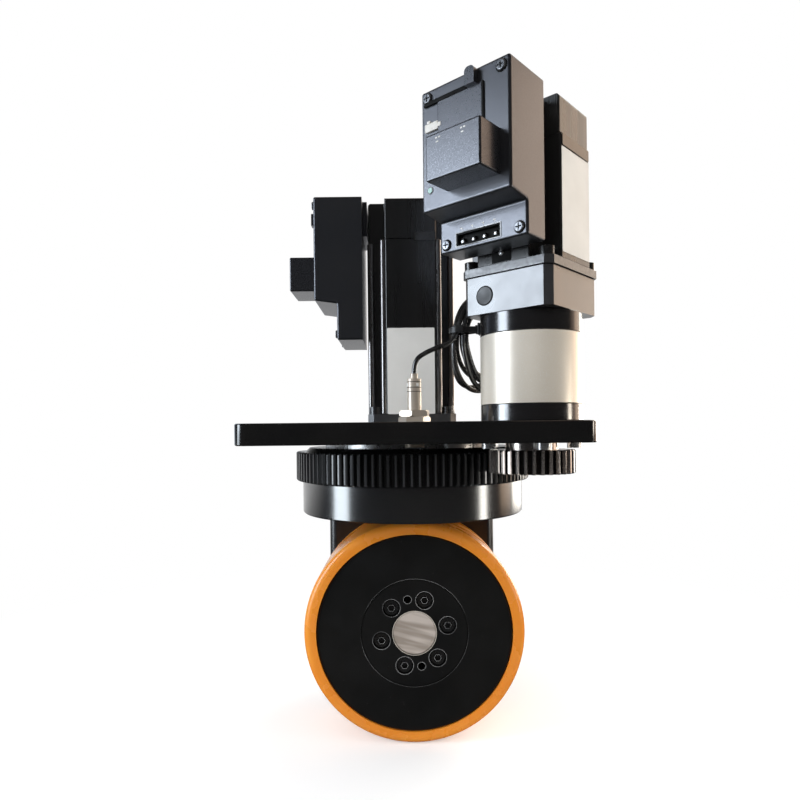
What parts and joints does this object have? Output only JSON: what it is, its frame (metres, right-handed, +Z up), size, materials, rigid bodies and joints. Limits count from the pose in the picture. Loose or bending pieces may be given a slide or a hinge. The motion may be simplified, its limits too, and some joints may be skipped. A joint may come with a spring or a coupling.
{
  "type": "steered drive wheel unit",
  "caption": "Steered drive wheel with two servo motors, a slewing ring gear and an offset bevel gear drive under a rectangular bolt-on plate.",
  "frame": {"origin": "centre of the chassis bolt pattern on the plate's top face, on the steering axis", "axes": "+Z up along the steering axis, -Y towards the wheel's outer face, +X towards the steering motor's side"},
  "size_m": [0.2077, 0.2783, 0.3974],
  "materials": {
    "plate_black": "satin black oxide on ground steel",
    "gear_steel": "black oxide, satin",
    "bearing_steel": "ground bearing steel",
    "shaft_steel": "turned steel",
    "screw_black": "black oxide screws",
    "screw_zinc": "zinc plated screws",
    "drum_black": "gloss black anodised, turned aluminium",
    "case_black": "satin black anodised aluminium",
    "hub_black": "matt black coated steel",
    "tyre_orange": "cast polyurethane, satin",
    "gearbox_black": "black anodised aluminium",
    "gearbox_silver": "fine turned, clear anodised",
    "motor_black": "black anodised extrusion",
    "box_black": "fine textured black",
    "connector_black": "moulded black",
    "light_green": "clear green lens",
    "sensor_metal": "nickel plated brass",
    "seal_rubber": "nitrile",
    "cable_black": "soft black jacket",
    "fitting_black": "nylon"
  },
  "bodies": {
    "chassis_side": {"mounting_plate": "plate_black", "slew_inner_ring": "bearing_steel", "slew_ring_screws": "screw_zinc", "slew_roller_ring": "bearing_steel", "gearbox_lower_collar": "gearbox_black", "gearbox_sleeve": "gearbox_silver", "gearbox_upper_collar": "gearbox_black", "gearbox_screws": "screw_zinc", "motor_adapter": "gearbox_black", "adapter_plug": "connector_black", "steer_motor_flange": "motor_black", "steer_motor_body": "motor_black", "steer_motor_cap": "motor_black", "steer_motor_flange_screws": "screw_zinc", "steer_motor_box": "box_black", "steer_motor_box_screws": "screw_black", "steer_motor_terminal_block": "connector_black", "steer_motor_power_header": "connector_black", "steer_motor_status_light": "light_green", "sensor_barrel": "sensor_metal", "sensor_nuts": "sensor_metal", "sensor_cable": "cable_black", "sensor_cable_coil": "cable_black", "cable_tie": "fitting_black", "sensor_plug": "fitting_black"},
    "steering_pinion": {"steer_pinion": "gear_steel", "steer_output_shaft": "shaft_steel", "steer_shaft_key": "shaft_steel", "pinion_end_screw": "screw_zinc"},
    "carrier": {"ring_gear": "gear_steel", "drum": "drum_black", "drum_floor_cover": "drum_black", "drum_bolts": "screw_black", "case_screws": "screw_black", "motor_pedestal": "drum_black", "gear_case": "case_black", "rear_cover": "case_black", "rear_cover_screws": "screw_zinc", "bevel_shaft_bearings": "bearing_steel", "axle_front_bearing": "bearing_steel", "axle_rear_bearing": "bearing_steel", "axle_seal": "seal_rubber", "drive_motor_flange": "motor_black", "drive_motor_body": "motor_black", "drive_motor_cap": "motor_black", "drive_motor_flange_screws": "screw_zinc", "drive_motor_box": "box_black", "drive_motor_box_screws": "screw_black", "drive_motor_terminal_block": "connector_black", "drive_motor_power_header": "connector_black", "drive_motor_status_light": "light_green"},
    "wheel": {"tyre": "tyre_orange", "wheel_hub": "hub_black", "hub_screws": "screw_black", "axle": "shaft_steel", "crown_gear": "shaft_steel"},
    "bevel_shaft": {"bevel_pinion_shaft": "shaft_steel", "transfer_gear": "shaft_steel"},
    "idler": {"idler_gear": "shaft_steel"},
    "motor_shaft": {"motor_pinion": "shaft_steel"}
  },
  "joints": [
    {"name": "steer", "type": "hinge", "parent": "chassis_side", "child": "carrier", "pos_m": [0, 0, -0.027], "axis": [0, 0, 1], "range_deg": [-90, 90]},
    {"name": "steering_pinion_spin", "type": "hinge", "parent": "chassis_side", "child": "steering_pinion", "pos_m": [0.07053, -0.07778, -0.0236], "axis": [0, 0, 1], "range_deg": [-305, 305]},
    {"name": "wheel_spin", "type": "hinge", "parent": "carrier", "child": "wheel", "pos_m": [0, 0, -0.1413], "axis": [0, 1, 0], "continuous": true},
    {"name": "bevel_shaft_spin", "type": "hinge", "parent": "carrier", "child": "bevel_shaft", "pos_m": [0, 0.054, -0.0722], "axis": [0, 0, 1], "continuous": true},
    {"name": "idler_spin", "type": "hinge", "parent": "carrier", "child": "idler", "pos_m": [0, 0.02325, -0.0502], "axis": [0, 0, 1], "continuous": true},
    {"name": "motor_spin", "type": "hinge", "parent": "carrier", "child": "motor_shaft", "pos_m": [0, 0, -0.0272], "axis": [0, 0, 1], "continuous": true}
  ],
  "couplings": [
    {"joint": "steering_pinion_spin", "follows": "steer", "ratio": -3.375},
    {"joint": "bevel_shaft_spin", "follows": "wheel_spin", "ratio": -3.5},
    {"joint": "idler_spin", "follows": "wheel_spin", "ratio": 4.9412},
    {"joint": "motor_spin", "follows": "wheel_spin", "ratio": -6}
  ]
}
